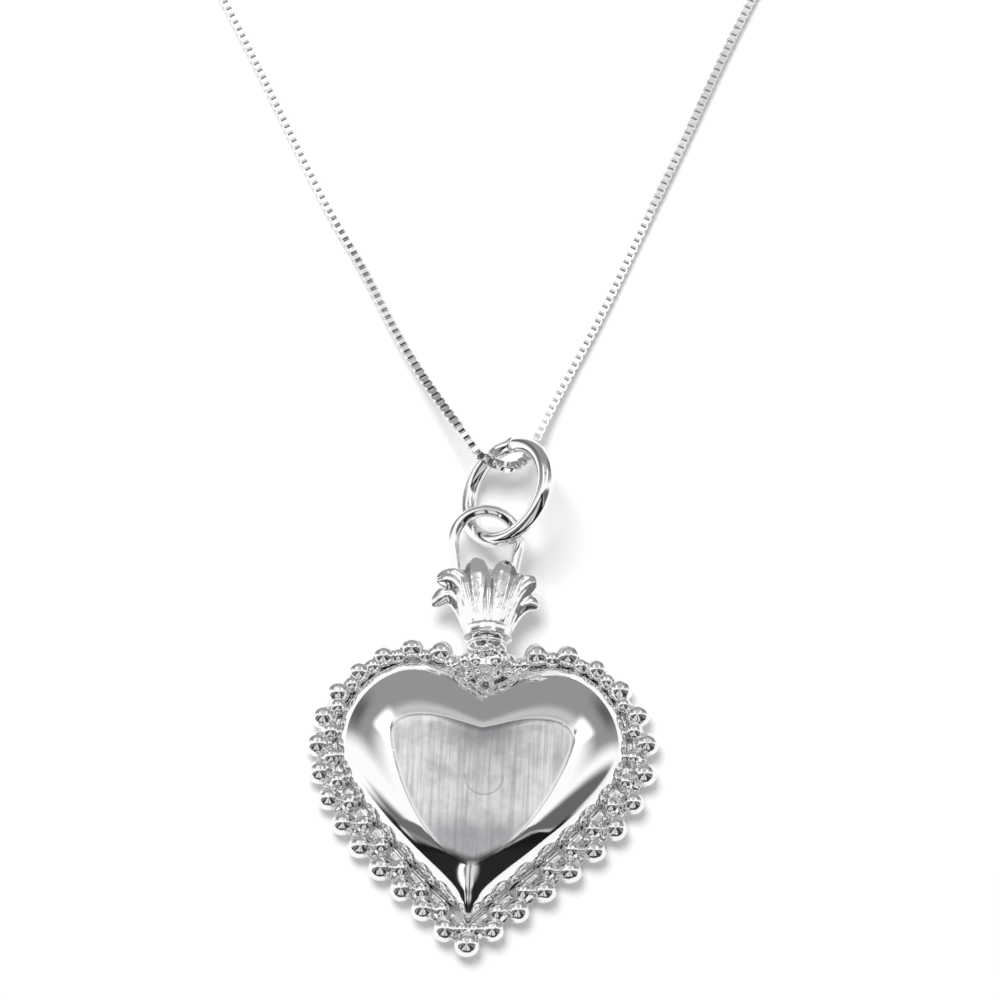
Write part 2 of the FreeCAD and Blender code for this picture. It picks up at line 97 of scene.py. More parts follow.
def sphereParts(centre, radii, turns=20, rows=12):
    points = []
    for i in range(1, rows):
        lift = math.pi * i / rows
        for k in range(turns):
            turn = 2 * math.pi * k / turns
            points.append(centre + Vector((radii[0] * math.sin(lift) * math.cos(turn),
                                           radii[1] * math.sin(lift) * math.sin(turn),
                                           -radii[2] * math.cos(lift))))
    return points, ringFaces(rows - 1, turns)


def tubeParts(line, radii, sides=24):
    # Round tube along a line of points, with a radius at each point
    heading = (line[1] - line[0]).normalized()
    side = heading.orthogonal().normalized()
    points = []
    for i, place in enumerate(line):
        ahead = line[min(i + 1, len(line) - 1)] - line[max(i - 1, 0)]
        ahead.normalize()
        side = (side - ahead * side.dot(ahead)).normalized()
        up = ahead.cross(side)
        for k in range(sides):
            turn = 2 * math.pi * k / sides
            points.append(place + (side * math.cos(turn) + up * math.sin(turn)) * radii[i])
    return points, ringFaces(len(line), sides)


def remeshed(name, parts, voxel, relax):
    # Melts overlapping lumps into one skin, as a casting has
    points, faces = joinLists(parts)
    holder = bpy.data.objects.new(name, makeMesh(name, points, faces))
    bpy.context.scene.collection.objects.link(holder)
    melt = holder.modifiers.new("melt", "REMESH")
    melt.mode = "VOXEL"
    melt.voxel_size = voxel
    ease = holder.modifiers.new("ease", "SMOOTH")
    ease.factor = 0.5
    ease.iterations = relax
    shown = holder.evaluated_get(bpy.context.evaluated_depsgraph_get())
    mesh = bpy.data.meshes.new_from_object(shown)
    mesh.name = name
    bpy.data.objects.remove(holder)
    mesh.polygons.foreach_set("use_smooth", [True] * len(mesh.polygons))
    print(name, "faces", len(mesh.polygons))
    return mesh


# Node groups and materials
def startGroup(name, inputs, outputs):
    # Inputs by name with their first values: three numbers for a direction, one for anything else
    group = bpy.data.node_groups.new(name, "ShaderNodeTree")
    for label, value in inputs.items():
        kind = "NodeSocketVector" if isinstance(value, tuple) else "NodeSocketFloat"
        socket = group.interface.new_socket(label, in_out="INPUT", socket_type=kind)
        socket.default_value = value
    for label in outputs:
        group.interface.new_socket(label, in_out="OUTPUT", socket_type="NodeSocketFloat")
    return group, group.nodes.new("NodeGroupInput").outputs, group.nodes.new("NodeGroupOutput").inputs


def fillSocket(tree, socket, value):
    if isinstance(value, bpy.types.NodeSocket):
        tree.links.new(value, socket)
    elif value is not None:
        socket.default_value = value


def mathNode(tree, operation, first, second=None, third=None):
    node = tree.nodes.new("ShaderNodeMath")
    node.operation = operation
    for socket, value in zip(node.inputs, (first, second, third)):
        fillSocket(tree, socket, value)
    return node.outputs[0]


def product(tree, *values):
    result = values[0]
    for value in values[1:]:
        result = mathNode(tree, "MULTIPLY", result, value)
    return result


def rangeNode(tree, value, low, high, newLow, newHigh):
    node = tree.nodes.new("ShaderNodeMapRange")
    node.interpolation_type = "SMOOTHSTEP"
    tree.links.new(value, node.inputs["Value"])
    for label, number in (("From Min", low), ("From Max", high), ("To Min", newLow), ("To Max", newHigh)):
        node.inputs[label].default_value = number
    return node.outputs["Result"]


def mixNode(tree, factor, first, second, kind="FLOAT"):
    node = tree.nodes.new("ShaderNodeMix")
    node.data_type = kind
    for label, value in (("Factor", factor), ("A", first), ("B", second)):
        fillSocket(tree, node.inputs[label], value)
    return node.outputs["Result"]


def noiseNode(tree, place, size, detail):
    node = tree.nodes.new("ShaderNodeTexNoise")
    tree.links.new(place, node.inputs["Vector"])
    fillSocket(tree, node.inputs["Scale"], size)
    node.inputs["Detail"].default_value = detail
    return node.outputs["Fac"]


def makeHandlingGroup():
    # Soft ripples of hand polishing and fine wiping scratches, as a height and a roughness
    group, given, results = startGroup("polishMarks", {
        "Ripple Size": 600.0, "Scratch Size": 2500.0, "Scratch Depth": 0.2,
        "Low Roughness": 0.05, "High Roughness": 0.12,
    }, ["Height", "Roughness"])
    place = group.nodes.new("ShaderNodeTexCoord").outputs["Object"]
    ripple = noiseNode(group, place, given["Ripple Size"], 1.5)
    stretch = group.nodes.new("ShaderNodeMapping")
    stretch.inputs["Rotation"].default_value = (0, 0, 0.6)
    stretch.inputs["Scale"].default_value = (1, 0.08, 1)
    group.links.new(place, stretch.inputs["Vector"])
    scratch = noiseNode(group, stretch.outputs["Vector"], given["Scratch Size"], 3)
    lines = mathNode(group, "MULTIPLY", scratch, given["Scratch Depth"])
    group.links.new(mathNode(group, "ADD", ripple, lines), results["Height"])
    rough = mixNode(group, scratch, given["Low Roughness"], given["High Roughness"])
    group.links.new(rough, results["Roughness"])
    return group


def makeBrushGroup():
    # Fine parallel lines of a brush drawn along the pendant, and cloudy patches
    group, given, results = startGroup("brushLines", {
        "Line Size": 9000.0, "Cloud Size": 260.0, "Stretch": 0.02,
    }, ["Lines", "Cloud"])
    place = group.nodes.new("ShaderNodeTexCoord").outputs["Object"]
    join = group.nodes.new("ShaderNodeCombineXYZ")
    join.inputs["X"].default_value = 1
    join.inputs["Z"].default_value = 1
    group.links.new(given["Stretch"], join.inputs["Y"])
    scaled = group.nodes.new("ShaderNodeVectorMath")
    scaled.operation = "MULTIPLY"
    group.links.new(place, scaled.inputs[0])
    group.links.new(join.outputs["Vector"], scaled.inputs[1])
    lines = noiseNode(group, scaled.outputs["Vector"], given["Line Size"], 4)
    group.links.new(lines, results["Lines"])
    group.links.new(noiseNode(group, place, given["Cloud Size"], 3), results["Cloud"])
    return group


# Marks of the heart's flat and its painted shade, in metres and shares of shade: the darker upper middle and
# lower end are painted reflections of dark panels
flatWearAndShade = {
    "patchSize": 700, "patchLow": 0.32, "patchHigh": 0.6, "patchShade": 0.72, "brokenBelow": 0.34,
    "arcX": 0.00033, "arcY": 0.00037, "arcTop": 0.0002, "arcShade": 0.62,
    "notchInner": 0.001, "notchOuter": 0.0042, "notchWider": 0.65, "notchStronger": 0.4, "lineStrength": 0.5,
    "upperStart": 0.0018, "upperEnd": 0.0042, "upperPaintedShade": 0.62,
    "lowerEnd": -0.0046, "lowerStart": -0.0018, "lowerShade": 0.3,
}


def makeWearAndShadeGroup():
    # A broken dark line round the flat's edge, an arc mark, and painted shade: a dark patch under the notch,
    # where the line is also painted wider and darker, and a dark lower end, both painted reflections of dark
    # panels
    group, given, results = startGroup("wornAndShadedFlat", {
        "Flat": 1.0, "Line Start": 0.2, "Line End": 0.5, "Arc Radius": 0.00144, "Arc Half Width": 0.00007,
    }, ["Shade", "Line"])
    flat = given["Flat"]
    place = group.nodes.new("ShaderNodeTexCoord").outputs["Object"]
    split = group.nodes.new("ShaderNodeSeparateXYZ")
    group.links.new(place, split.inputs[0])
    y = split.outputs["Y"]
    patches = noiseNode(group, place, flatWearAndShade["patchSize"], 4)
    across = mathNode(group, "SUBTRACT", split.outputs["X"], flatWearAndShade["arcX"])
    along = mathNode(group, "SUBTRACT", y, flatWearAndShade["arcY"])
    squares = mathNode(group, "MULTIPLY_ADD", across, across, mathNode(group, "MULTIPLY", along, along))
    reach = mathNode(group, "SQRT", squares)
    off = mathNode(group, "ABSOLUTE", mathNode(group, "SUBTRACT", reach, given["Arc Radius"]))
    outside = mathNode(group, "GREATER_THAN", off, given["Arc Half Width"])
    above = mathNode(group, "GREATER_THAN", along, flatWearAndShade["arcTop"])
    arc = mathNode(group, "MAXIMUM", mathNode(group, "MAXIMUM", outside, above), flatWearAndShade["arcShade"])
    aside = mathNode(group, "ABSOLUTE", across)
    middle = rangeNode(group, aside, flatWearAndShade["notchInner"], flatWearAndShade["notchOuter"], 1, 0)
    # painted shade: the upper middle of the flat is darkened as a painted reflection of a dark panel
    upper = rangeNode(group, y, flatWearAndShade["upperStart"], flatWearAndShade["upperEnd"], 0, flatWearAndShade["upperPaintedShade"])
    upper = mathNode(group, "SUBTRACT", 1, mathNode(group, "MULTIPLY", upper, middle))
    # painted shade: the lower end is darkened as a painted reflection of the dark zenith
    lower = rangeNode(group, y, flatWearAndShade["lowerEnd"], flatWearAndShade["lowerStart"], flatWearAndShade["lowerShade"], 1)
    cloud = rangeNode(group, patches, flatWearAndShade["patchLow"], flatWearAndShade["patchHigh"], flatWearAndShade["patchShade"], 1)
    group.links.new(product(group, upper, lower, cloud, arc), results["Shade"])
    # painted shade: under the notch the edge line is painted wider and darker
    notch = mathNode(group, "MULTIPLY", middle, mathNode(group, "GREATER_THAN", y, 0))
    lineEnd = mathNode(group, "MULTIPLY_ADD", notch, flatWearAndShade["notchWider"], given["Line End"])
    line = product(group, mathNode(group, "GREATER_THAN", flat, given["Line Start"]),
                   mathNode(group, "LESS_THAN", flat, lineEnd),
                   mathNode(group, "GREATER_THAN", patches, flatWearAndShade["brokenBelow"]))
    strength = mathNode(group, "MULTIPLY_ADD", notch, -flatWearAndShade["notchStronger"], -flatWearAndShade["lineStrength"])
    group.links.new(mathNode(group, "MULTIPLY_ADD", line, strength, 1), results["Line"])
    return group


def startSilver(name, look):
    material = bpy.data.materials.new(name)
    material.use_nodes = True
    tree = material.node_tree
    shader = tree.nodes["Principled BSDF"]
    shader.inputs["Base Color"].default_value = (*look["colour"], 1)
    shader.inputs["Metallic"].default_value = look["metallic"]
    return material, tree, shader


def placeGroup(tree, group, values):
    node = tree.nodes.new("ShaderNodeGroup")
    node.node_tree = group
    for label, value in values.items():
        fillSocket(tree, node.inputs[label], value)
    return node.outputs


def addBump(tree, shader, height, distance):
    bump = tree.nodes.new("ShaderNodeBump")
    bump.inputs["Strength"].default_value = 1
    bump.inputs["Distance"].default_value = distance
    tree.links.new(height, bump.inputs["Height"])
    tree.links.new(bump.outputs["Normal"], shader.inputs["Normal"])


def addTint(tree, shader, brightShare, darkColour, colour):
    tint = mixNode(tree, brightShare, (*darkColour, 1), (*colour, 1), "RGBA")
    tree.links.new(tint, shader.inputs["Base Color"])


def makeSilver(name, look):
    material, tree, shader = startSilver(name, look)
    marks = placeGroup(tree, polishMarks, look["marks"])
    tree.links.new(marks["Roughness"], shader.inputs["Roughness"])
    addBump(tree, shader, marks["Height"], look["depth"])
    # painted shade: hollows found by pointiness are tinted dark, standing in for the shade that falls in the
    # casting's recesses
    if "hollowShadeColour" in look:
        shape = tree.nodes.new("ShaderNodeNewGeometry")
        brightShare = rangeNode(tree, shape.outputs["Pointiness"], look["hollowLow"], look["hollowHigh"], 0, 1)
        addTint(tree, shader, brightShare, look["hollowShadeColour"], look["colour"])
    return material


def makeHeartSilver(look):
    # Mirror polish on the walls of the heart and a brushed flat, told apart by the mesh's flatShare
    material, tree, shader = startSilver("heartSilver", look)
    marks = placeGroup(tree, polishMarks, look["marks"])
    brush = placeGroup(tree, brushLines, look["brush"])
    share = tree.nodes.new("ShaderNodeAttribute")
    share.attribute_name = "flatShare"
    flat = share.outputs["Fac"]
    rough = mathNode(tree, "MULTIPLY_ADD", brush["Cloud"], look["cloudRough"], look["flatRough"])
    tree.links.new(mixNode(tree, flat, marks["Roughness"], rough), shader.inputs["Roughness"])
    wornAndShaded = placeGroup(tree, wornAndShadedFlat, {"Flat": flat, **look["flatWearAndShade"]})
    deep = mathNode(tree, "MULTIPLY", brush["Lines"], look["lineDepth"])
    wavy = mathNode(tree, "MULTIPLY_ADD", brush["Cloud"], look["cloudDepth"], deep)
    height = mathNode(tree, "MULTIPLY_ADD", wavy, flat, marks["Height"])
    addBump(tree, shader, height, look["depth"])
    # the dark colour carries the brush strokes, the flat's marks, its painted shade and the walls' dark edge
    # line
    stroke = rangeNode(tree, brush["Lines"], look["strokeLow"], look["strokeHigh"], look["strokeShade"], 1)
    brushed = product(tree, stroke, flat, wornAndShaded["Shade"])
    polished = mathNode(tree, "MULTIPLY", mathNode(tree, "SUBTRACT", 1, flat), wornAndShaded["Line"])
    brightShare = mathNode(tree, "ADD", brushed, polished)
    addTint(tree, shader, brightShare, look["strokeAndShadeColour"], look["colour"])
    return material


polishMarks = makeHandlingGroup()
brushLines = makeBrushGroup()
wornAndShadedFlat = makeWearAndShadeGroup()

silverLooks = {
    "polished": {"colour": (0.93, 0.925, 0.92), "metallic": 1, "depth": 0.000004,
                 "marks": {"Ripple Size": 350, "Low Roughness": 0.04, "High Roughness": 0.11}},
    "cast": {"colour": (0.93, 0.925, 0.92), "metallic": 0.95, "depth": 0.00005,
             # the dark hollow colour is painted shade for the recesses of the casting
             "hollowShadeColour": (0.1, 0.095, 0.09), "hollowLow": 0.36, "hollowHigh": 0.47,
             "marks": {"Ripple Size": 1200, "Low Roughness": 0.05, "High Roughness": 0.16}},
    "chain": {"colour": (0.95, 0.945, 0.94), "metallic": 1, "depth": 0.000006,
              "marks": {"Ripple Size": 2500, "Low Roughness": 0.1, "High Roughness": 0.22}},
    "spring": {"colour": (0.6, 0.6, 0.61), "metallic": 1, "depth": 0.000002,
               "marks": {"Ripple Size": 3000, "Low Roughness": 0.2, "High Roughness": 0.35}},
    # the heart's dark colour serves both the brush strokes and the painted shade of the flat
    "heart": {"colour": (0.93, 0.93, 0.935), "metallic": 1, "depth": 0.000006,
              "marks": {"Ripple Size": 260, "Low Roughness": 0.03, "High Roughness": 0.08},
              "brush": {"Line Size": 4200, "Stretch": 0.03},
              "flatWearAndShade": {"Line Start": 0.1, "Line End": 0.3},
              "flatRough": 0.17, "cloudRough": 0.16, "lineDepth": 0.9, "cloudDepth": 12.0,
              "strokeLow": 0.3, "strokeHigh": 0.62, "strokeShade": 0.6, "strokeAndShadeColour": (0.3, 0.305, 0.325)},
}
polishedSilver = makeSilver("polishedSilver", silverLooks["polished"])
castSilver = makeSilver("castSilver", silverLooks["cast"])
chainSilver = makeSilver("chainSilver", silverLooks["chain"])
springSteel = makeSilver("springSteel", silverLooks["spring"])
heartSilver = makeHeartSilver(silverLooks["heart"])
printStage("materials")

# The heart's front, a little wider at the foot than the solid and with a slightly different flat
heart = {
    "plate": 0.4,
    "top": 4.45,
    "rings": 40,
    "innerRings": 10,
    "middleY": -0.2,
    "perCurve": 44,
    "fadeTurn": 81.0,
    "wider": {"notch": 0.35, "lobe": 0.3, "side": 0.4, "flank": 0.1},
    "straightFrom": -3.5,
    "straightAt": -8.5,
    "straightShare": 0.6,
    "bowAcross": 0.007,
    "bowAlong": 0.004,
}
domeOutline = {"notchY": 8.6, "notchAngle": 31.0, "notchReach": 2.0, "lobeX": 5.4, "lobeY": 10.75,
               "lobeInner": 1.9, "lobeOuter": 3.3, "sideX": 11.0, "sideY": 4.3, "sideUpper": 3.3,
               "sideLower": 4.2, "tipX": -0.4, "tipY": -10.2, "tipAngle": 42.7, "tipReach": 8.0}
flatOutline = {"notchY": 3.75, "notchAngle": 9.0, "notchReach": 1.6, "lobeX": 4.7, "lobeY": 4.6,
               "lobeInner": 1.8, "lobeOuter": 1.1, "sideX": 6.4, "sideY": 3.7, "sideUpper": 0.7,
               "sideLower": 1.7, "tipX": -0.4, "tipY": -6.3, "tipAngle": 12.0, "tipReach": 3.7}


def grownOutline(outline, notch, lobe, side, flank):
    wider = dict(outline)
    wider["notchY"] += notch / math.cos(math.radians(outline["notchAngle"]))
    wider["lobeY"] += lobe
    wider["sideX"] += side
    wider["tipY"] -= flank / math.cos(math.radians(outline["tipAngle"]))
    return wider


def betweenOutlines(first, second, share):
    return {name: first[name] + (second[name] - first[name]) * share for name in first}


def heartCurves(outline, z):
    # Six cubic curves from the notch round the right lobe to the tip and back round the left one
    notch = Vector((0, outline["notchY"], z))
    tip = Vector((outline["tipX"], outline["tipY"], z))
    rise, slope = math.radians(outline["notchAngle"]), math.radians(outline["tipAngle"])
    halves = []
    for side in (1, -1):
        lobe = Vector((side * outline["lobeX"], outline["lobeY"], z))
        widest = Vector((side * outline["sideX"], outline["sideY"], z))
        fromNotch = Vector((side * math.cos(rise), math.sin(rise), 0)) * outline["notchReach"]
        fromTip = Vector((side * math.cos(slope), math.sin(slope), 0)) * outline["tipReach"]
        halves.append([
            [notch, notch + fromNotch, lobe - Vector((side * outline["lobeInner"], 0, 0)), lobe],
            [lobe, lobe + Vector((side * outline["lobeOuter"], 0, 0)),
             widest + Vector((0, outline["sideUpper"], 0)), widest],
            [widest, widest - Vector((0, outline["sideLower"], 0)), tip + fromTip, tip],
        ])
    right, left = halves
    return right + [poles[::-1] for poles in left[::-1]]


def curvePoint(poles, t):
    a, b, c, d = poles
    s = 1 - t
    return a * (s * s * s) + b * (3 * s * s * t) + c * (3 * s * t * t) + d * (t * t * t)


def curveLine(curves, count):
    line = [curvePoint(poles, i / count) for poles in curves for i in range(count)]
    return line + [curvePoint(curves[-1], 1)]


def heartLoop(outline, z):
    return curveLine(heartCurves(outline, z), heart["perCurve"])[:-1]


def wallRise(y, run, rise):
    # Round walls, growing straighter towards the tip
    share = (heart["straightFrom"] - y) / (heart["straightFrom"] - heart["straightAt"])
    share = max(0, min(1, share)) * heart["straightShare"]
    return rise + (run - rise) * share


def flatBow(place):
    # The flat is bowed a little, as hand polishing leaves it
    return heart["bowAcross"] * place.x ** 2 + heart["bowAlong"] * place.y ** 2


def makeDome():
    points, shares, rings = [], [], []
    footOutline = grownOutline(domeOutline, **heart["wider"])
    for i in range(heart["rings"] + 1):
        turn = 90 * i / heart["rings"]
        run, rise = 1 - math.cos(math.radians(turn)), math.sin(math.radians(turn))
        ring = heartLoop(betweenOutlines(footOutline, flatOutline, run), heart["plate"])
        for place in ring:
            lift = wallRise(place.y, run, rise)
            place.z += (heart["top"] - heart["plate"]) * lift - flatBow(place) * lift ** 3
        rings.append(ring)
        share = max(0, min(1, (turn - heart["fadeTurn"]) / (90 - heart["fadeTurn"])))
        shares += [share * share * (3 - 2 * share)] * len(ring)
    sides = len(rings[0])
    middle = Vector((0, heart["middleY"], heart["top"]))
    for i in range(1, heart["innerRings"]):
        ring = [place.lerp(middle, i / heart["innerRings"]) for place in rings[heart["rings"]]]
        for place in ring:
            place.z = heart["top"] - flatBow(place)
        rings.append(ring)
        shares += [1] * sides
    for ring in rings:
        points += ring
    faces = ringFaces(len(rings), sides, closedEnds=False)
    faces.append(list(range(sides))[::-1])  # closes the foot
    points.append(middle)
    shares.append(1)
    last = (len(rings) - 1) * sides
    faces += [[last + k, last + (k + 1) % sides, len(points) - 1] for k in range(sides)]
    mesh = makeMesh("domeFront", points, faces)
    layer = mesh.attributes.new("flatShare", "FLOAT", "POINT")
    layer.data.foreach_set("value", shares)
    placePiece("domeFront", mesh, "pendant", heartSilver, ["dome_front"])


makeDome()
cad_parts["back_plate"].data.materials[0] = polishedSilver
printStage("heart")

# Cast border: balls, inner knobs, and lumps and grains about the notch. Spreads are ranges of random draws
border = {
    "notch": 1.45, "lobe": 1.35, "side": 1.8, "flank": 1.6, "flankReach": 2.6, "tipReach": 1.0,
    "bandHeight": 0.65, "bandInset": 0.35, "gap": 0.05,
    "ball": 0.97, "ballSpread": (0.94, 1.06), "leftBalls": 16, "rightBalls": 15,
    "neckShare": 0.7, "tipTuck": 0.45,
    "knob": 0.72, "knobSpread": (0.92, 1.1), "knobTall": 1.05, "knobHeight": 1.02, "knobGap": 0.02,
    "spoke": 0.34, "spokeDrop": 0.3, "spokeTaper": 0.8,
    "saddle": 0.5, "saddleTaper": 1.15, "saddleHeight": 0.7, "saddlePlace": 0.4,
    "crumbs": 1, "crumbShares": (0.15, 0.85), "crumbReach": (0.1, 1.5), "crumbHeights": (0.7, 1.2),
    "crumbSizes": (0.14, 0.26),
    "voxel": 0.095, "relax": 1, "seed": 5,
}
neck = {
    "seatReach": 1.9, "radius": 1.6, "length": 2.1, "height": 1.935,
    "profile": [(0, 0.7), (0.45, 0.7), (0.75, 0.85), (1, 0.98)],  # shares of the length and the radius
    "grain": 0.32, "grains": 45, "grainSpread": (0.5, 1.15), "grainFlat": (0.7, 1.2), "grainWobble": 0.12,
    "halfSpan": 2.9, "seatMargin": 0.8, "sideEnd": 0.6, "leastReach": 0.3,
    "slope": 1.9, "lowest": 1.0, "lowCrest": 1.3, "sunk": 0.3,
}
# Larger lumps of the casting about the notch: place and radius
neckLumps = [
    (-1.5, 10.9, 1.75, 0.8), (1.05, 11.1, 1.9, 0.78), (-0.45, 10.3, 1.7, 0.7), (0.75, 10.1, 1.6, 0.68),
    (0.1, 9.75, 1.35, 0.5), (-1.3, 9.95, 1.3, 0.5), (1.75, 10.2, 1.3, 0.52), (-2.35, 10.6, 1.3, 0.62),
    (2.3, 10.8, 1.35, 0.6), (-0.3, 11.3, 2.5, 0.75), (0.5, 9.35, 1.05, 0.32), (-0.5, 9.4, 1.1, 0.34),
    (-0.8, 10.75, 2.45, 0.68), (0.75, 10.85, 2.5, 0.7), (0.0, 10.2, 2.15, 0.55), (0.15, 11.6, 2.9, 0.5),
    (-1.0, 11.65, 2.55, 0.55), (1.05, 11.55, 2.5, 0.58),
]


def evenPlaces(curves, count):
    # Even places from the ball nearest the neck to the last one before the tip
    line = curveLine(curves, 80)
    along = [0]
    for first, second in zip(line, line[1:]):
        along.append(along[-1] + (second - first).length)
    spacing = along[-1] / (count + border["neckShare"])
    places = []
    for i in range(count):
        wanted = along[-1] - spacing * (count - i)
        k = next(k for k in range(len(along) - 1) if along[k + 1] >= wanted)
        share = (wanted - along[k]) / (along[k + 1] - along[k])
        places.append(line[k].lerp(line[k + 1], share))
    return places


ballLine = grownOutline(domeOutline, border["notch"], border["lobe"], border["side"], border["flank"])
ballLine["sideLower"] += border["flankReach"]
ballLine["tipReach"] += border["tipReach"]
seatY = ballLine["notchY"] + neck["seatReach"]
heartFoot = heartLoop(grownOutline(domeOutline, *[border["gap"]] * 4), 0)


def ballPlaces():
    curves = heartCurves(ballLine, border["ball"])
    right = evenPlaces(curves[:3], border["rightBalls"])
    left = evenPlaces([poles[::-1] for poles in curves[:2:-1]], border["leftBalls"])
    tip = Vector((ballLine["tipX"], ballLine["tipY"] + border["tipTuck"], border["ball"]))
    return right + [tip] + left[::-1]


def nearestFoot(place):
    return min(heartFoot, key=lambda p: (p.x - place.x) ** 2 + (p.y - place.y) ** 2)


def bandParts():
    # Low band under the balls, from the heart's foot outwards
    outer = heartLoop(grownOutline(ballLine, *[-border["bandInset"]] * 4), 0)
    rings = [heartFoot, outer, [p + upward * border["bandHeight"] for p in outer],
             [p + upward * border["bandHeight"] for p in heartFoot], heartFoot]
    points = [p for ring in rings for p in ring]
    return points, ringFaces(len(rings), len(outer), closedEnds=False)


def ballParts(place, draw):
    foot = nearestFoot(place)
    wide, deep = [border["ball"] * draw.uniform(*border["ballSpread"]) for i in range(2)]
    below = Vector((place.x, place.y, 0))
    inner = foot + (below - foot) * border["saddlePlace"] + upward * border["saddleHeight"]
    saddle = [border["saddle"], border["saddle"] * border["saddleTaper"]]
    return [sphereParts(place, (wide, deep, border["ball"])), tubeParts([inner, place], saddle, 16)]


def knobParts(first, second, draw):
    # A knob against the heart between two balls, its spokes and a crumb of metal
    middle = (first + second) / 2
    foot = nearestFoot(middle)
    outward = (Vector((middle.x, middle.y, 0)) - foot).normalized()
    wide = border["knob"] * draw.uniform(*border["knobSpread"])
    knob = foot + outward * (wide + border["knobGap"]) + upward * border["knobHeight"]
    spoke = border["spoke"]
    parts = [sphereParts(knob, (wide, wide, wide * border["knobTall"]), 20, 12),
             tubeParts([knob, middle - upward * border["spokeDrop"]], [spoke] * 2, 12)]
    for place in (first, second):
        parts.append(tubeParts([knob, place], [spoke * border["spokeTaper"], spoke], 10))
    for i in range(border["crumbs"]):
        share = draw.uniform(*border["crumbShares"])
        crumb = first.lerp(second, share) - outward * draw.uniform(*border["crumbReach"])
        crumb.z = draw.uniform(*border["crumbHeights"])
        size = draw.uniform(*border["crumbSizes"])
        if (Vector((crumb.x, crumb.y, 0)) - nearestFoot(crumb)).dot(outward) > size:
            parts.append(sphereParts(crumb, (size, size, size), 10, 8))
    return parts


def neckParts(draw):
    start = seatY - neck["length"]
    line = [Vector((0, start + neck["length"] * share, neck["height"])) for share, wide in neck["profile"]]
    parts = [tubeParts(line, [neck["radius"] * wide for share, wide in neck["profile"]], 32)]
    for x, y, z, wide in neckLumps:
        parts.append(sphereParts(Vector((x, y, z)), (wide, wide * 0.9, wide), 20, 14))
    for i in range(neck["grains"]):
        across = draw.uniform(-1, 1) * neck["halfSpan"]
        wide = neck["grain"] * draw.uniform(*neck["grainSpread"])
        rim = nearestFoot(Vector((across, start, 0))).y
        last = seatY - neck["seatMargin"] if abs(across) < neck["radius"] else start + neck["sideEnd"]
        last = max(last, rim + wide + neck["leastReach"])
        place = Vector((across, draw.uniform(rim + wide, last), 0))
        bulge = neck["radius"] * max(0, 1 - (across / neck["radius"]) ** 2) ** 0.5
        crest = max(neck["height"] + bulge - neck["sunk"], neck["lowCrest"])
        climb = min(1, (place.y - rim) / neck["slope"])
        wobble = draw.uniform(-neck["grainWobble"], neck["grainWobble"])
        place.z = neck["lowest"] + (crest - neck["lowest"]) * climb + wobble
        parts.append(sphereParts(place, (wide, wide * draw.uniform(*neck["grainFlat"]), wide), 12, 8))
    return parts


def borderParts():
    draw = random.Random(border["seed"])
    places = ballPlaces()
    parts = [bandParts()]
    for place in places:
        parts += ballParts(place, draw)
    for first, second in zip(places, places[1:]):
        parts += knobParts(first, second, draw)
    return parts + neckParts(draw)


borderMesh = remeshed("beadedBorder", borderParts(), border["voxel"], border["relax"])
placePiece("beadedBorder", borderMesh, "pendant", castSilver, ["beaded_frame"])
printStage("border")

# Plume: leaves that fan out of a collar
plume = {
    "coreRadius": 1.5, "height": 6.2, "collarRadius": 1.95, "collarStart": 0.45, "collarWidth": 0.95,
    "rootWidth": 0.55, "fullAt": 0.55, "roundFrom": 0.68, "groove": 0.34, "lastStation": 0.995,
    "leastWidth": 0.06, "leastDepth": 0.15, "tipDepth": 0.75,
    "across": 22, "stations": 26, "voxel": 0.075, "relax": 1,
}
# Each leaf: root, bend and tip from the plume's seat, the way it faces, its width, depth and count of flutes
leaves = [
    ((-0.55, 1.3, 1.4), (-0.85, 4.4, 1.6), (-1.3, 7.15, 0.95), -8, 2.1, 0.95, 4),
    ((0.55, 1.3, 1.4), (0.85, 4.4, 1.6), (1.35, 7.05, 0.95), 8, 2.1, 0.95, 4),
    ((0.0, 1.3, 1.6), (-0.05, 4.0, 1.9), (-0.1, 5.9, 1.2), 0, 0.8, 0.8, 1),
    ((-1.05, 1.3, 1.2), (-1.55, 4.0, 1.5), (-2.35, 6.1, 0.8), -25, 1.2, 0.8, 2),
    ((1.05, 1.3, 1.2), (1.55, 4.0, 1.5), (2.5, 6.0, 0.8), 25, 1.2, 0.8, 2),
    ((-1.35, 1.3, 0.7), (-2.1, 6.3, 1.0), (-4.25, 5.0, 0.6), -30, 2.0, 0.9, 2),
    ((1.35, 1.3, 0.7), (1.9, 5.1, 1.0), (3.75, 5.5, 0.5), 30, 1.7, 0.9, 2),
    ((-1.5, 1.3, 0.0), (-2.7, 6.0, 0.4), (-4.45, 3.1, 0.0), -8, 1.75, 1.3, 1),
    ((1.5, 1.3, 0.0), (2.4, 4.8, 0.4), (3.85, 3.3, 0.0), 8, 1.6, 1.2, 1),
    ((-1.0, 1.3, -1.1), (-1.7, 4.4, -1.1), (-2.6, 6.0, -0.7), 200, 1.5, 0.7, 2),
    ((0.0, 1.3, -1.4), (0.0, 4.4, -1.35), (0.0, 6.6, -0.9), 180, 1.6, 0.7, 2),
    ((1.0, 1.3, -1.1), (1.7, 4.4, -1.1), (2.6, 6.0, -0.7), 160, 1.5, 0.7, 2),
]


def leafWidth(share):
    # Narrow at the root, full past the middle and round at the end
    root = plume["rootWidth"]
    swell = root + (1 - root) * math.sin(math.pi / 2 * min(share / plume["fullAt"], 1))
    past = max(0.0, (share - plume["roundFrom"]) / (1 - plume["roundFrom"]))
    return swell * max(0.0, 1 - past * past) ** 0.5


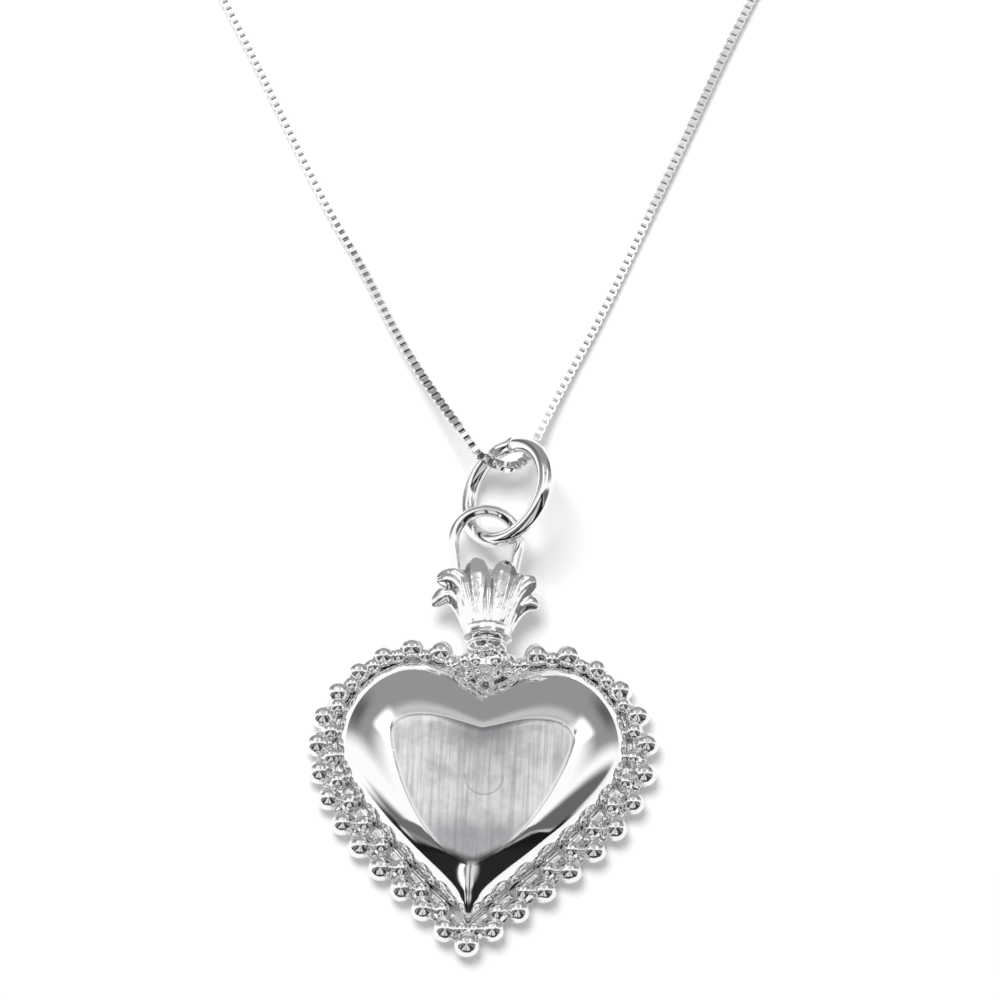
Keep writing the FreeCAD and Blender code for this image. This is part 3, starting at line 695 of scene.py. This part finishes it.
def leafParts(seat, root, bend, tip, face, width, depth, flutes):
    root, bend, tip = [seat + Vector(place) for place in (root, bend, tip)]
    turn = math.radians(face)
    facing = Vector((math.sin(turn), 0, math.cos(turn)))
    across, stations = plume["across"], plume["stations"]
    points = []
    for i in range(stations):
        share = i / (stations - 1) * plume["lastStation"]
        rest = 1 - share
        place = root * (rest * rest) + bend * (2 * share * rest) + tip * (share * share)
        heading = ((bend - root) * rest + (tip - bend) * share).normalized()
        side = heading.cross(facing).normalized()
        out = side.cross(heading).normalized()
        swell = leafWidth(share)
        half = width / 2 * max(swell, plume["leastWidth"])
        taper = plume["tipDepth"] + (1 - plume["tipDepth"]) * rest
        thick = depth / 2 * taper * max(swell, plume["leastDepth"]) ** 0.5
        for k in range(across):
            angle = 2 * math.pi * k / across
            reach, lift = math.cos(angle), math.sin(angle)
            if lift > 0 and flutes > 1:
                lift *= 1 - plume["groove"] * (0.5 - 0.5 * math.cos(2 * math.pi * flutes * (reach + 1) / 2))
            points.append(place + side * (half * reach) + out * (thick * lift))
    return points, ringFaces(stations, across)


def plumeParts():
    start, end = plume["collarStart"], plume["collarStart"] + plume["collarWidth"]
    collar, core = plume["collarRadius"], plume["coreRadius"]
    profile = [
        (0, neck["radius"]), (start * 0.5, neck["radius"] * 0.93), (start, collar * 0.9),
        (start + 0.1, collar), (start + plume["collarWidth"] * 0.5, collar * 0.97), (end - 0.1, collar),
        (end, collar * 0.9), (end + 0.15, core),
        (plume["height"] * 0.6, core), (plume["height"], core * 0.7),
    ]
    line = [Vector((0, seatY + y, neck["height"])) for y, radius in profile]
    seat = Vector((0, seatY, neck["height"]))
    stem = tubeParts(line, [radius for y, radius in profile], 40)
    return [stem] + [leafParts(seat, *leaf) for leaf in leaves]


plumeMesh = remeshed("flamePlume", plumeParts(), plume["voxel"], plume["relax"])
placePiece("flamePlume", plumeMesh, "pendant", castSilver, ["flame_finial"])
printStage("plume")

# Fixed loop and jump ring, both of round wire
fixedLoop = {"radius": 2.62, "wire": 0.48, "x": -0.49, "reach": 8.75, "height": 2.3, "tilt": 8.0,
             "legLean": 10.0, "legLength": 3.9, "steps": 90, "legSteps": 12}
jumpRing = {"radius": 4.05, "wire": 0.66, "lean": 41.0, "x": 0.95, "tuck": 0.05, "restGap": 0.02,
            "seam": 0.1, "seamTurn": 172.0, "sides": 40, "stations": 220, "edge": 0.06, "edgeShare": 0.6}


def makeFixedLoop():
    lean = math.radians(fixedLoop["legLean"])
    line = []
    for i in range(fixedLoop["steps"] + 1):
        turn = -lean + (math.pi + 2 * lean) * i / fixedLoop["steps"]
        line.append(Vector((math.cos(turn), math.sin(turn), 0)) * fixedLoop["radius"])
    legs = []
    legSteps = fixedLoop["legSteps"]
    for side, top in ((1, line[0]), (-1, line[-1])):
        foot = top - Vector((side * math.sin(lean), math.cos(lean), 0)) * fixedLoop["legLength"]
        legs.append([foot.lerp(top, i / legSteps) for i in range(legSteps)])
    line = legs[0] + line + legs[1][::-1]
    spin = Matrix.Rotation(math.radians(fixedLoop["tilt"]), 4, "X")
    centre = Vector((fixedLoop["x"], seatY + fixedLoop["reach"], fixedLoop["height"]))
    line = [centre + spin @ place for place in line]
    points, faces = tubeParts(line, [fixedLoop["wire"]] * len(line), 32)
    mesh = makeMesh("fixedLoop", points, faces)
    placePiece("fixedLoop", mesh, "pendant", polishedSilver, ["fixed_loop"])


def makeJumpRing():
    lean = math.radians(jumpRing["lean"])
    height = jumpRing["wire"] + jumpRing["radius"] * math.sin(lean) + jumpRing["restGap"]
    reach = seatY + fixedLoop["reach"] + jumpRing["radius"] - jumpRing["tuck"]
    centre = Vector((jumpRing["x"], reach, height))
    slope = Vector((math.cos(lean), 0, math.sin(lean)))
    gap = jumpRing["seam"] / jumpRing["radius"]
    first = math.radians(jumpRing["seamTurn"]) + gap / 2
    line, radii = [], []
    for i in range(jumpRing["stations"] + 1):
        share = i / jumpRing["stations"]
        turn = first + (2 * math.pi - gap) * share
        around = slope * math.sin(turn) - Vector((0, 1, 0)) * math.cos(turn)
        line.append(centre + around * jumpRing["radius"])
        radii.append(jumpRing["wire"])
    for end, inner in ((0, 1), (-1, -2)):  # the cut ends are eased
        line[inner] = line[end].lerp(line[inner], jumpRing["edgeShare"])
        radii[end] -= jumpRing["edge"]
    points, faces = tubeParts(line, radii, jumpRing["sides"])
    mesh = makeMesh("jumpRing", points, faces)
    placePiece("jumpRing", mesh, "loose_ring", polishedSilver, ["jump_ring"])


makeFixedLoop()
makeJumpRing()
printStage("loop and ring")

# Box chain: two halves that meet inside the jump ring
chain = {
    "width": 0.75, "pitch": 0.375, "length": 0.2, "tableGap": 0.005,
    "linkLength": 0.64, "strip": 0.5, "sheet": 0.13, "corner": 0.12,
    "coilRadius": 4.125, "columns": 3, "turnPoints": 16, "innerTurns": 1.0,
    "climbAt": 0.75, "climbTurns": 0.35,
    "twist": 4.0, "twistStart": -18.0, "twistLength": 9.0,
}
floorCentre = chain["width"] / 2 + chain["tableGap"]
leftRoute = [
    (-29.2, 79.9, floorCentre), (-26.2, 73.4, floorCentre), (-22.2, 65.8, floorCentre),
    (-18.5, 58.3, floorCentre), (-15.0, 51.4, floorCentre), (-11.7, 45.9, floorCentre),
    (-9.0, 40.5, 0.6), (-6.7, 36.4, 1.2), (-4.6, 32.9, 2.3), (-2.6, 29.8, 3.3), (-1.25, 27.74, 3.42),
]
rightRoute = [
    (22.5, 79.9, floorCentre), (19.6, 73.4, floorCentre), (17.0, 66.7, floorCentre),
    (13.85, 58.1, floorCentre), (10.75, 50.1, floorCentre), (7.95, 42.7, floorCentre),
    (5.6, 37.3, 0.5), (4.1, 33.7, 0.8), (3.1, 30.9, 1.15), (2.45, 28.7, 1.65), (1.25, 27.36, 2.3),
]
tail = {"reach": 7.6, "bend": 0.35, "bendPlace": 0.55, "drop": 1.6}


def splineLine(points):
    # Points read from the smooth spline that has the route as its control points
    curve = bpy.data.curves.new("route", "CURVE")
    curve.dimensions = "3D"
    spline = curve.splines.new("NURBS")
    spline.points.add(len(points) - 1)
    for point, place in zip(spline.points, points):
        point.co = (*place, 1)
    spline.order_u = 3
    spline.use_endpoint_u = True
    curve.resolution_u = 12
    holder = bpy.data.objects.new("route", curve)
    mesh = bpy.data.meshes.new_from_object(holder)
    line = [v.co.copy() for v in mesh.vertices]
    bpy.data.objects.remove(holder)
    bpy.data.curves.remove(curve)
    bpy.data.meshes.remove(mesh)
    return line


def coilPoints(route, side):
    # Two layers of turns: in along the table, up, and out again on top
    first, second = Vector(route[0]), Vector(route[1])
    heading = (first - second).normalized()
    inner = Vector((heading.y * side, -heading.x * side, 0))
    outer = chain["coilRadius"] + chain["width"] * (chain["columns"] - 1) / 2
    centre = first + inner * outer
    start = math.atan2(-inner.y, -inner.x)
    sweep = (start - math.pi / 2) * side
    sweep %= 2 * math.pi
    steps = chain["columns"] - 1
    turns = 2 * steps + chain["innerTurns"] + sweep / (2 * math.pi)
    count = round(turns * chain["turnPoints"])
    points = []
    for i in range(count + 1):
        turn = turns * i / count
        inward = min(turn, steps)
        outward = max(0, turn - (turns - steps))
        radius = outer - chain["width"] * (inward - outward)
        rise = max(0, min(1, (turn - steps - chain["climbAt"]) / chain["climbTurns"]))
        angle = start - side * 2 * math.pi * turn
        place = centre + Vector((math.cos(angle), math.sin(angle), 0)) * radius
        place.z = floorCentre + chain["width"] * rise
        points.append(place)
    return points, centre, outer


def tailPoints(centre, outer, side):
    start = centre + Vector((0, outer, 0))
    bend = start + Vector((side * tail["reach"] * tail["bendPlace"], -tail["bend"], 0))
    end = start + Vector((side * tail["reach"], -tail["drop"], 0))
    return [bend, end]


def evenlyAlong(line, step):
    along = [0]
    for first, second in zip(line, line[1:]):
        along.append(along[-1] + (second - first).length)
    count = int(along[-1] / step)
    places, k = [], 0
    for i in range(count + 1):
        wanted = i * step
        while along[k + 1] < wanted:
            k += 1
        share = (wanted - along[k]) / (along[k + 1] - along[k])
        places.append(line[k].lerp(line[k + 1], share))
    return places


def linkProfile():
    # Half outline of one link seen from its open side: a square ring with cut corners
    length, height, cut = chain["linkLength"] / 2, chain["width"] / 2, chain["corner"]
    outer = [
        (length - cut, height), (length, height - cut), (length, cut - height), (length - cut, -height),
        (cut - length, -height), (-length, cut - height), (-length, height - cut), (cut - length, height),
    ]
    thin = chain["sheet"]
    inner = [(x * (length - thin) / length, y * (height - thin) / height) for x, y in outer]
    return outer, inner


def linkParts(place, ahead, up, aside):
    outer, inner = linkProfile()
    half = chain["strip"] / 2
    sides = len(outer)
    points = []
    for outline, reach in ((outer, -half), (outer, half), (inner, half), (inner, -half)):
        points += [place + ahead * x + up * y + aside * reach for x, y in outline]
    faces = []
    for ring in range(4):
        for k in range(sides):
            a, b = ring * sides + k, ring * sides + (k + 1) % sides
            c, d = ((ring + 1) % 4) * sides + (k + 1) % sides, ((ring + 1) % 4) * sides + k
            faces.append([a, b, c, d])
    return points, faces


def makeChain(name, route, other, side, nodes, ending):
    middle = (Vector(route[-1]) + Vector(other[-1])) / 2
    coil, centre, outer = coilPoints(route, side)
    points = [middle] + [Vector(p) for p in route[:0:-1]] + coil + tailPoints(centre, outer, side)
    line = evenlyAlong(splineLine(points), chain["pitch"] / 2)
    parts = []
    up = upward
    for i in range(1, len(line) - 1, 2):
        ahead = (line[i + 1] - line[i - 1]).normalized()
        aside = ahead.cross(up).normalized()
        up = aside.cross(ahead).normalized()
        along = i * chain["pitch"] / 2 / chain["twistLength"]
        turn = math.radians(chain["twistStart"] + chain["twist"] * math.sin(along))
        twist = Matrix.Rotation(turn, 3, ahead)
        over, across = twist @ up, twist @ aside
        if (i // 2) % 2:
            parts.append(linkParts(line[i], ahead, over, across))
        else:
            parts.append(linkParts(line[i], ahead, across, over))
    linkPoints, linkFaces = joinLists(parts)
    mesh = makeMesh(name, linkPoints, linkFaces, smooth=False)
    piece = placePiece(name, mesh, None, chainSilver, nodes)
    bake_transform(piece)
    print(name, "links", len(parts), "length", len(line) * chain["pitch"] / 2)


# Catch: a spring ring with a sliding gate, and the plain ring that it takes
catch = {
    "radius": 2.2, "wire": 0.55, "mouth": 48.0, "tag": 0.75, "tagWire": 0.26,
    "gate": 0.24, "fit": 0.07, "gateCatch": 7.0, "gateHold": 62.0, "travel": 50.0, "squeezed": 18.0,
    "slotPlay": 5.0, "trigger": 72.0, "triggerWidth": 0.3, "triggerRise": 0.35,
    "springGap": 0.5, "springCoils": 9, "springSteps": 16, "springWire": 0.05,
    "wallSides": 28, "wallSteps": 150, "seam": 0.002,
    "endRing": 1.6, "endWire": 0.3,
}


def tailEnd(route, side):
    coil, centre, outer = coilPoints(route, side)
    bend, end = tailPoints(centre, outer, side)
    return end, (end - bend).normalized()


def ringArc(centre, radius, first, last, steps):
    turns = [math.radians(first + (last - first) * i / steps) for i in range(steps + 1)]
    return [centre + Vector((math.cos(turn), math.sin(turn), 0)) * radius for turn in turns]


def closedRing(centre, radius, wire, steps, sides):
    line = ringArc(centre, radius, 0, 360, steps)
    points, faces = tubeParts(line, [wire] * len(line), sides)
    return points, faces[:-2]


def claspWall(centre, mouthEnd, span):
    # Hollow wire with an open slot on top for the trigger, as a closed C of two skins
    sides, steps = catch["wallSides"], catch["wallSteps"]
    slotHalf = (catch["triggerWidth"] / 2 + catch["fit"]) / catch["wire"]
    slotFirst = mouthEnd - catch["mouth"] + catch["trigger"] - catch["slotPlay"]
    slotLast = slotFirst + catch["travel"] + 2 * catch["slotPlay"]
    bore = catch["gate"] + catch["fit"]
    points = []
    for i in range(steps + 1):
        turn = mouthEnd + span * i / steps
        out = Vector((math.cos(math.radians(turn)), math.sin(math.radians(turn)), 0))
        gap = slotHalf if slotFirst <= turn <= slotLast else catch["seam"]
        for radius, way in ((catch["wire"], 1), (bore, -1)):
            for k in range(sides + 1):
                share = k / sides if way == 1 else 1 - k / sides
                angle = math.pi / 2 + gap + (2 * math.pi - 2 * gap) * share
                around = out * math.cos(angle) + upward * math.sin(angle)
                points.append(centre + out * catch["radius"] + around * radius)
    return points, ringFaces(steps + 1, 2 * (sides + 1))


def makeCatch():
    end, heading = tailEnd(leftRoute, 1)
    tagPlace = end + heading * catch["tag"]
    tagPlace.z = catch["wire"]
    centre = tagPlace + heading * (catch["radius"] + catch["wire"] + catch["tag"] - catch["tagWire"])
    centre.z = catch["wire"]
    turn = math.degrees(math.atan2(-heading.y, -heading.x))
    mouthStart = turn + 180 - catch["mouth"] / 2
    mouthEnd = mouthStart + catch["mouth"]
    wall = claspWall(centre, mouthEnd, 360 - catch["mouth"])
    tag = closedRing(tagPlace, catch["tag"], catch["tagWire"], 48, 16)
    body = makeMesh("claspBody", *joinLists([wall, tag]))
    body = placePiece("claspBody", body, "pendant", polishedSilver, ["clasp_body"])

    first, last = mouthStart - catch["gateCatch"], mouthEnd + catch["gateHold"]
    line = ringArc(centre, catch["radius"], first, last, 60)
    bolt = tubeParts(line, [catch["gate"]] * len(line), 20)
    trigger = mouthStart + catch["trigger"]
    post = ringArc(centre, catch["radius"], trigger, trigger, 1)[0]
    top = post + upward * (catch["wire"] + catch["triggerRise"])
    knob = tubeParts([post, top], [catch["triggerWidth"] / 2] * 2, 16)
    gate = makeMesh("claspGate", *joinLists([bolt, knob]))
    gate = placePiece("claspGate", gate, "gate", polishedSilver, ["clasp_gate"])

    first = mouthEnd + catch["gateHold"] + catch["springGap"]
    last = first + catch["travel"] + catch["squeezed"] - catch["springGap"]
    core = ringArc(centre, catch["radius"], first, last, catch["springCoils"] * catch["springSteps"])
    helix = []
    for i, place in enumerate(core):
        out = (place - centre).normalized()
        turn = 2 * math.pi * i / catch["springSteps"]
        around = out * math.cos(turn) + upward * math.sin(turn)
        helix.append(place + around * (catch["gate"] - catch["springWire"]))
    coil = makeMesh("claspSpring", *tubeParts(helix, [catch["springWire"]] * len(helix), 8))
    coil = placePiece("claspSpring", coil, None, springSteel, ["clasp_spring"])
    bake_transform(coil)
    return [body, gate, coil]


def makeEndRing():
    end, heading = tailEnd(rightRoute, -1)
    place = end + heading * catch["endRing"]
    place.z = catch["endWire"]
    mesh = makeMesh("endRing", *closedRing(place, catch["endRing"], catch["endWire"], 64, 20))
    return placePiece("endRing", mesh, "pendant", polishedSilver, ["end_ring"])


makeChain("chainLeft", leftRoute, rightRoute, 1,
          ["chain_left_run", "chain_left_coil", "chain_left_tail"], makeCatch())
makeChain("chainRight", rightRoute, leftRoute, -1,
          ["chain_right_run", "chain_right_coil", "chain_right_tail"], [makeEndRing()])
printStage("chain and catch")

# Floor, studio and camera
studio = {
    "floorSize": 2.0,
    "floorDrop": 0.00002,
    "floorColour": (0.8, 0.8, 0.8),
    "floorGlow": 0.16,
    "worldBase": 1.05,
    "cameraPlace": (6.151, -100.892, 271.892),
    "cameraTarget": (0.400, 25.763, 0.0),
    "cameraUp": (-0.04111, 0.90537, 0.42262),
    "lens": 134.57,
    "lampPlace": (-0.15, 0.25, 0.6),
    "lampTarget": (0, 0.02, 0),
    "lampSize": 0.4,
    "lampWatts": 3.6,
}
# Each panel of the studio, in degrees: heading from north to east, height above the table, half its width,
# half its height and the softness of its edge, and then its light
panels = {
    "rearWall": (0, 16, 70, 34, 9, 0.31),
    "rearLeft": (-50, 12, 10, 15, 9, 0.12),
    "rearRight": (43, 12, 10, 14, 9, 0.12),
    "rearGlow": (0, 53, 26, 3, 4, 0.48),
    "leftBox": (-40, 52, 9, 9, 4, 1.6),
    "rightBox": (40, 52, 9, 9, 4, 1.6),
    "roof": (0, 67, 13, 7, 8, 0.42),
    "roofSeam": (0, 60, 24, 1.5, 3, 0.08),
    "leftSeam": (-33, 60, 2, 8, 2, 0.1),
    "rightSeam": (33, 60, 2, 8, 2, 0.1),
    "zenith": (180, 84, 100, 10, 4, 0.03),
    "leftGrey": (-108, 46, 13, 28, 5, 0.16),
    "leftLow": (-108, 2, 7, 18, 5, 0.05),
    "leftCurtain": (-128, 40, 8, 46, 3, 0.008),
    "rightGrey": (101, 40, 15, 34, 6, 0.14),
    "rightCurtain": (131, 40, 14, 46, 3, 0.008),
    "rightLine": (117, 16, 0.8, 26, 1.5, 0.7),
    "front": (180, 0, 72, 12, 4, 0.01),
    "behindLens": (180, 32, 54, 42, 4, 0.02),
    "keelGlow": (180, 50, 27, 30, 4, 0.75),
    "leftSliver": (-147, 34, 2.5, 24, 1.5, 1.3),
    "lensSlot": (180, 44, 4, 40, 2, 0.05),
}


def makePanelGroup():
    # A soft-edged patch of the sky, found from the direction looked in
    group, given, results = startGroup("studioPanel", {
        "Direction": (0, 0, 1), "Heading": 0.0, "Height": 0.0, "Wide": 0.3, "Tall": 0.3, "Soft": 0.1,
    }, ["Mask"])
    split = group.nodes.new("ShaderNodeSeparateXYZ")
    group.links.new(given["Direction"], split.inputs[0])
    heading = mathNode(group, "ARCTAN2", split.outputs["X"], split.outputs["Y"])
    offset = mathNode(group, "SUBTRACT", heading, given["Heading"])
    wrapped = mathNode(group, "ABSOLUTE", mathNode(group, "WRAP", offset, math.pi, -math.pi))
    height = mathNode(group, "ARCSINE", split.outputs["Z"])
    lift = mathNode(group, "ABSOLUTE", mathNode(group, "SUBTRACT", height, given["Height"]))
    masks = []
    for distance, size in ((wrapped, "Wide"), (lift, "Tall")):
        past = mathNode(group, "SUBTRACT", distance, given[size])
        share = mathNode(group, "DIVIDE", past, given["Soft"])
        masks.append(rangeNode(group, share, -1, 1, 1, 0))
    group.links.new(mathNode(group, "MULTIPLY", *masks), results["Mask"])
    return group


def makeWorld():
    world = bpy.data.worlds.new("studio")
    bpy.context.scene.world = world
    world.use_nodes = True
    tree = world.node_tree
    place = tree.nodes.new("ShaderNodeTexCoord").outputs["Generated"]
    light = studio["worldBase"]
    for name, (*angles, level) in panels.items():
        values = dict(zip(("Heading", "Height", "Wide", "Tall", "Soft"), [math.radians(a) for a in angles]))
        mask = placeGroup(tree, studioPanel, {"Direction": place, **values})["Mask"]
        light = mixNode(tree, mask, light, level)
        light.node.label = name
    rays = tree.nodes.new("ShaderNodeLightPath")
    seen = mixNode(tree, rays.outputs["Is Camera Ray"], light, 1)
    tree.links.new(seen, tree.nodes["Background"].inputs["Color"])


def makeFloor():
    half = studio["floorSize"] / 2
    corners = [(-half, -half, 0), (half, -half, 0), (half, half, 0), (-half, half, 0)]
    mesh = bpy.data.meshes.new("floor")
    mesh.from_pydata(corners, [], [[0, 1, 2, 3]])
    material = bpy.data.materials.new("paleFloor")
    material.use_nodes = True
    tree = material.node_tree
    shader = tree.nodes["Principled BSDF"]
    shader.inputs["Base Color"].default_value = (*studio["floorColour"], 1)
    shader.inputs["Roughness"].default_value = 0.9
    rays = tree.nodes.new("ShaderNodeLightPath")
    seen = mathNode(tree, "MAXIMUM", rays.outputs["Is Camera Ray"], rays.outputs["Is Glossy Ray"])
    glow = mathNode(tree, "MULTIPLY", seen, studio["floorGlow"])
    shader.inputs["Emission Color"].default_value = (1, 1, 1, 1)
    tree.links.new(glow, shader.inputs["Emission Strength"])
    mesh.materials.append(material)
    floor = bpy.data.objects.new("floor", mesh)
    floor.location.z = -studio["floorDrop"]
    bpy.context.scene.collection.objects.link(floor)


def makeCamera():
    place, target = Vector(studio["cameraPlace"]) * mm, Vector(studio["cameraTarget"]) * mm
    ahead = (target - place).normalized()
    right = ahead.cross(Vector(studio["cameraUp"])).normalized()
    up = right.cross(ahead)
    data = bpy.data.cameras.new("camera")
    data.lens = studio["lens"]
    data.sensor_width = 36
    data.clip_start = 0.01
    data.clip_end = 10
    camera = bpy.data.objects.new("camera", data)
    turn = Matrix((right, up, -ahead)).transposed().to_4x4()
    camera.matrix_world = Matrix.Translation(place) @ turn
    bpy.context.scene.collection.objects.link(camera)
    bpy.context.scene.camera = camera


def makeLamp():
    data = bpy.data.lights.new("topLamp", "AREA")
    data.shape = "SQUARE"
    data.size = studio["lampSize"]
    data.energy = studio["lampWatts"]
    lamp = bpy.data.objects.new("topLamp", data)
    lamp.location = studio["lampPlace"]
    aim = Vector(studio["lampTarget"]) - Vector(studio["lampPlace"])
    lamp.rotation_euler = aim.to_track_quat("-Z", "Y").to_euler()
    bpy.context.scene.collection.objects.link(lamp)
    lamp.visible_glossy = False  # the studio's panels stand for it in the metal


studioPanel = makePanelGroup()
makeWorld()
makeFloor()
makeLamp()
makeCamera()
bpy.context.scene.view_settings.view_transform = "Standard"
printStage("studio")
